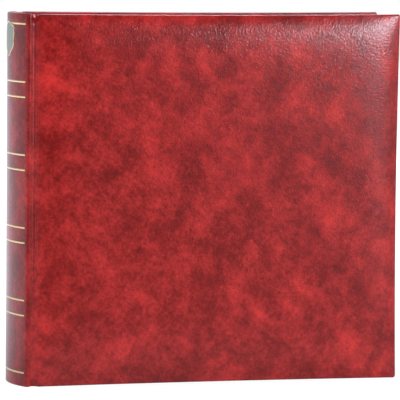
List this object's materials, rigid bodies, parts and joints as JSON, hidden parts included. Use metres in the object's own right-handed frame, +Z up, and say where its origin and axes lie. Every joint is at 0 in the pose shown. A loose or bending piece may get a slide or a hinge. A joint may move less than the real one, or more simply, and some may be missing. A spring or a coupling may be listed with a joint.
{
  "type": "stamp album",
  "caption": "Padded leatherette ring-binder stamp album with a rounded gold-lined spine, hinged covers, opening ring mechanism and linen-hinged leaves that fan.",
  "frame": {"origin": "on the floor under the middle of the closed album's box", "axes": "+X from the spine to the fore-edge, +Y from the front cover to the back cover, +Z up the standing album"},
  "size_m": [0.331, 0.075, 0.31],
  "materials": {
    "red_leatherette": "marbled red grained PVC leatherette, semi-gloss",
    "greyboard": "dense grey binder's board",
    "foam_padding": "open-cell foam wadding",
    "lining_paper": "cream lining paper",
    "nickel_steel": "bright nickel-plated steel",
    "plain_steel": "plain spring steel",
    "album_card": "ivory album card, matt",
    "linen_cloth": "woven linen hinge cloth",
    "clear_mount_film": "black-backed clear stamp mounts"
  },
  "bodies": {
    "spine": {"spine_board": "greyboard", "spine_padding": "foam_padding", "spine_skin": "red_leatherette", "spine_lining": "lining_paper", "front_joint": "red_leatherette", "back_joint": "red_leatherette", "ring_housing": "nickel_steel", "lever_pins": "nickel_steel", "rivets": "nickel_steel", "rivet_spacers": "plain_steel", "leaf_tabs": "album_card", "linen_hinges_01": "linen_cloth", "linen_hinges_02": "linen_cloth", "linen_hinges_03": "linen_cloth", "linen_hinges_04": "linen_cloth", "linen_hinges_05": "linen_cloth", "linen_hinges_06": "linen_cloth", "linen_hinges_07": "linen_cloth", "linen_hinges_08": "linen_cloth", "linen_hinges_09": "linen_cloth", "linen_hinges_10": "linen_cloth"},
    "front_cover": {"front_board": "greyboard", "front_padding": "foam_padding", "front_skin": "red_leatherette", "front_lining": "lining_paper"},
    "back_cover": {"back_board": "greyboard", "back_padding": "foam_padding", "back_skin": "red_leatherette", "back_lining": "lining_paper"},
    "upper_lever_body": {"upper_lever": "nickel_steel"},
    "lower_lever_body": {"lower_lever": "nickel_steel"},
    "front_rings": {"front_blade": "plain_steel", "front_half_rings": "nickel_steel"},
    "rear_rings": {"rear_blade": "plain_steel", "rear_half_rings": "nickel_steel"},
    "leaf_group_01": {"leaves_01": "album_card", "stamp_mounts_01": "clear_mount_film"},
    "leaf_group_02": {"leaves_02": "album_card", "stamp_mounts_02": "clear_mount_film"},
    "leaf_group_03": {"leaves_03": "album_card", "stamp_mounts_03": "clear_mount_film"},
    "leaf_group_04": {"leaves_04": "album_card", "stamp_mounts_04": "clear_mount_film"},
    "leaf_group_05": {"leaves_05": "album_card", "stamp_mounts_05": "clear_mount_film"},
    "leaf_group_06": {"leaves_06": "album_card", "stamp_mounts_06": "clear_mount_film"},
    "leaf_group_07": {"leaves_07": "album_card", "stamp_mounts_07": "clear_mount_film"},
    "leaf_group_08": {"leaves_08": "album_card", "stamp_mounts_08": "clear_mount_film"},
    "leaf_group_09": {"leaves_09": "album_card", "stamp_mounts_09": "clear_mount_film"},
    "leaf_group_10": {"leaves_10": "album_card", "stamp_mounts_10": "clear_mount_film"}
  },
  "joints": [
    {"name": "front_cover_hinge", "type": "hinge", "parent": "spine", "child": "front_cover", "pos_m": [-0.1509, -0.0343, 0.155], "axis": [0, 0, -1], "range_deg": [0, 175], "deforming": ["front_joint"]},
    {"name": "back_cover_hinge", "type": "hinge", "parent": "spine", "child": "back_cover", "pos_m": [-0.1509, 0.0343, 0.155], "axis": [0, 0, 1], "range_deg": [0, 175], "deforming": ["back_joint"]},
    {"name": "upper_lever_press", "type": "hinge", "parent": "spine", "child": "upper_lever_body", "pos_m": [-0.1517, 0, 0.292], "axis": [0, -1, 0], "range_deg": [0, 20]},
    {"name": "lower_lever_press", "type": "hinge", "parent": "spine", "child": "lower_lever_body", "pos_m": [-0.1517, 0, 0.018], "axis": [0, 1, 0], "range_deg": [0, 20.1]},
    {"name": "front_rings_open", "type": "hinge", "parent": "spine", "child": "front_rings", "pos_m": [-0.1515, -0.0105, 0.155], "axis": [0, 0, -1], "range_deg": [0, 6.6]},
    {"name": "rear_rings_open", "type": "hinge", "parent": "spine", "child": "rear_rings", "pos_m": [-0.1515, 0.0105, 0.155], "axis": [0, 0, 1], "range_deg": [0, 6.6]},
    {"name": "leaf_turn_01", "type": "hinge", "parent": "spine", "child": "leaf_group_01", "pos_m": [-0.0945, -0.01305, 0.155], "axis": [0, 0, -1], "range_deg": [0, 130.1], "deforming": ["linen_hinges_01"]},
    {"name": "leaf_turn_02", "type": "hinge", "parent": "spine", "child": "leaf_group_02", "pos_m": [-0.0945, -0.01015, 0.155], "axis": [0, 0, -1], "range_deg": [0, 70.1], "deforming": ["linen_hinges_02"]},
    {"name": "leaf_turn_03", "type": "hinge", "parent": "spine", "child": "leaf_group_03", "pos_m": [-0.0945, -0.00725, 0.155], "axis": [0, 0, -1], "range_deg": [0, 40.1], "deforming": ["linen_hinges_03"]},
    {"name": "leaf_turn_04", "type": "hinge", "parent": "spine", "child": "leaf_group_04", "pos_m": [-0.0945, -0.00435, 0.155], "axis": [0, 0, -1], "range_deg": [0, 20.1], "deforming": ["linen_hinges_04"]},
    {"name": "leaf_turn_05", "type": "hinge", "parent": "spine", "child": "leaf_group_05", "pos_m": [-0.0945, -0.00145, 0.155], "axis": [0, 0, -1], "range_deg": [0, 8.1], "deforming": ["linen_hinges_05"]},
    {"name": "leaf_turn_06", "type": "hinge", "parent": "spine", "child": "leaf_group_06", "pos_m": [-0.0945, 0.00145, 0.155], "axis": [0, 0, 1], "range_deg": [0, 8.1], "deforming": ["linen_hinges_06"]},
    {"name": "leaf_turn_07", "type": "hinge", "parent": "spine", "child": "leaf_group_07", "pos_m": [-0.0945, 0.00435, 0.155], "axis": [0, 0, 1], "range_deg": [0, 20.1], "deforming": ["linen_hinges_07"]},
    {"name": "leaf_turn_08", "type": "hinge", "parent": "spine", "child": "leaf_group_08", "pos_m": [-0.0945, 0.00725, 0.155], "axis": [0, 0, 1], "range_deg": [0, 40.1], "deforming": ["linen_hinges_08"]},
    {"name": "leaf_turn_09", "type": "hinge", "parent": "spine", "child": "leaf_group_09", "pos_m": [-0.0945, 0.01015, 0.155], "axis": [0, 0, 1], "range_deg": [0, 70.1], "deforming": ["linen_hinges_09"]},
    {"name": "leaf_turn_10", "type": "hinge", "parent": "spine", "child": "leaf_group_10", "pos_m": [-0.0945, 0.01305, 0.155], "axis": [0, 0, 1], "range_deg": [0, 130.1], "deforming": ["linen_hinges_10"]}
  ],
  "couplings": [
    {"joint": "lower_lever_press", "follows": "upper_lever_press", "ratio": 1},
    {"joint": "front_rings_open", "follows": "upper_lever_press", "ratio": 0.325},
    {"joint": "rear_rings_open", "follows": "upper_lever_press", "ratio": 0.325},
    {"joint": "leaf_turn_01", "follows": "front_cover_hinge", "ratio": 0.74286},
    {"joint": "leaf_turn_02", "follows": "front_cover_hinge", "ratio": 0.4},
    {"joint": "leaf_turn_03", "follows": "front_cover_hinge", "ratio": 0.22857},
    {"joint": "leaf_turn_04", "follows": "front_cover_hinge", "ratio": 0.11429},
    {"joint": "leaf_turn_05", "follows": "front_cover_hinge", "ratio": 0.045714},
    {"joint": "leaf_turn_06", "follows": "back_cover_hinge", "ratio": 0.045714},
    {"joint": "leaf_turn_07", "follows": "back_cover_hinge", "ratio": 0.11429},
    {"joint": "leaf_turn_08", "follows": "back_cover_hinge", "ratio": 0.22857},
    {"joint": "leaf_turn_09", "follows": "back_cover_hinge", "ratio": 0.4},
    {"joint": "leaf_turn_10", "follows": "back_cover_hinge", "ratio": 0.74286}
  ]
}
